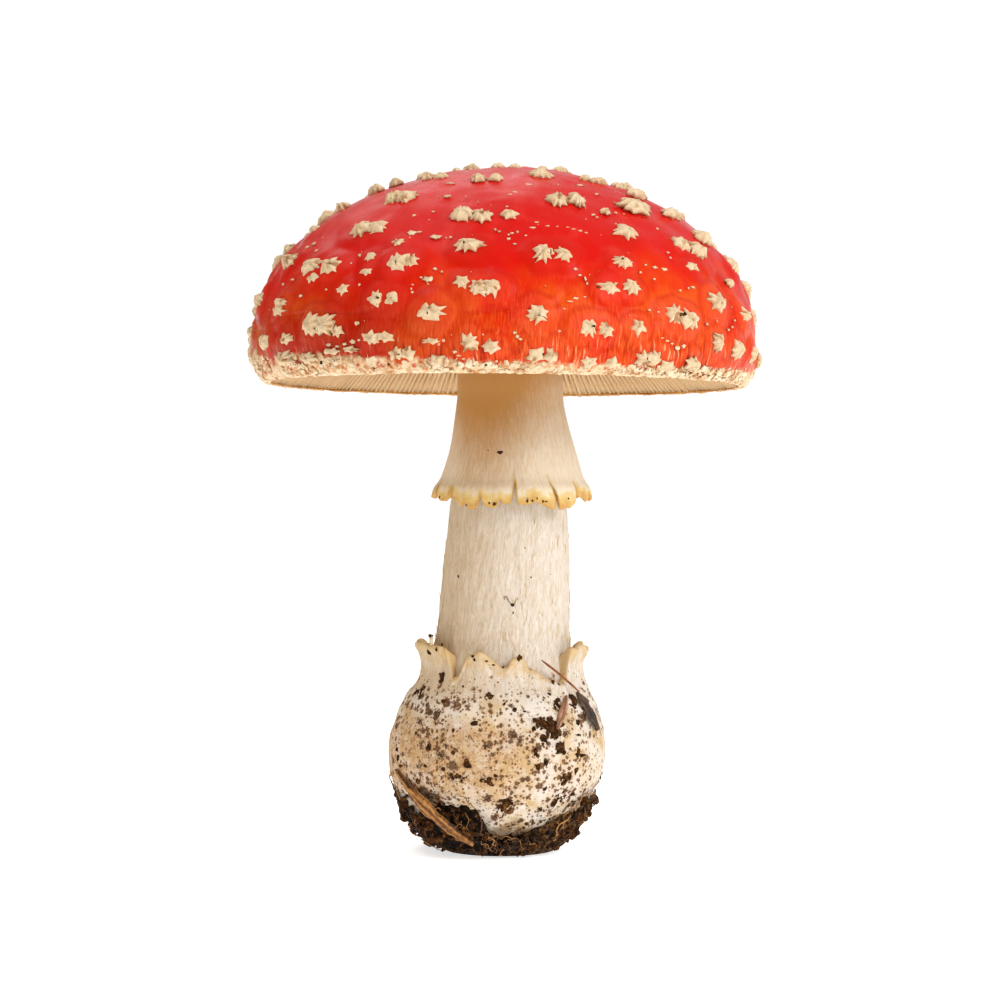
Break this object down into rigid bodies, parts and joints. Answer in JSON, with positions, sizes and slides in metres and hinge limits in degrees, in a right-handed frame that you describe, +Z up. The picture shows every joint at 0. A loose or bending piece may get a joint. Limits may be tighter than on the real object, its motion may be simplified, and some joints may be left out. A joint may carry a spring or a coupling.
{
  "type": "fly agaric mushroom",
  "caption": "Full-grown fly agaric with warted red cap, free gills, pleated skirt ring and a soil-crusted bulb; stands on its foot.",
  "frame": {"origin": "middle of the flat of soil under the foot, on the surface that the mushroom stands on", "axes": "+Z up along the stem to the crown, -Y to the front (the side with the low volva rim), +X to the right seen from the front"},
  "size_m": [0.1115, 0.1117, 0.1471],
  "materials": {
    "cap": "gloss",
    "gills": "matte",
    "stem": "matte",
    "ring": "matte",
    "soil": "matte",
    "bark_strip": "matte",
    "bark_flake": "matte",
    "bud_scale": "satin",
    "needle": "satin"
  },
  "bodies": {
    "root": {"cap": "cap", "gills": "gills", "stem": "stem", "ring": "ring", "soil": "soil", "bark_strip": "bark_strip", "bark_flake": "bark_flake", "bud_scale": "bud_scale", "needle": "needle"}
  },
  "joints": []
}
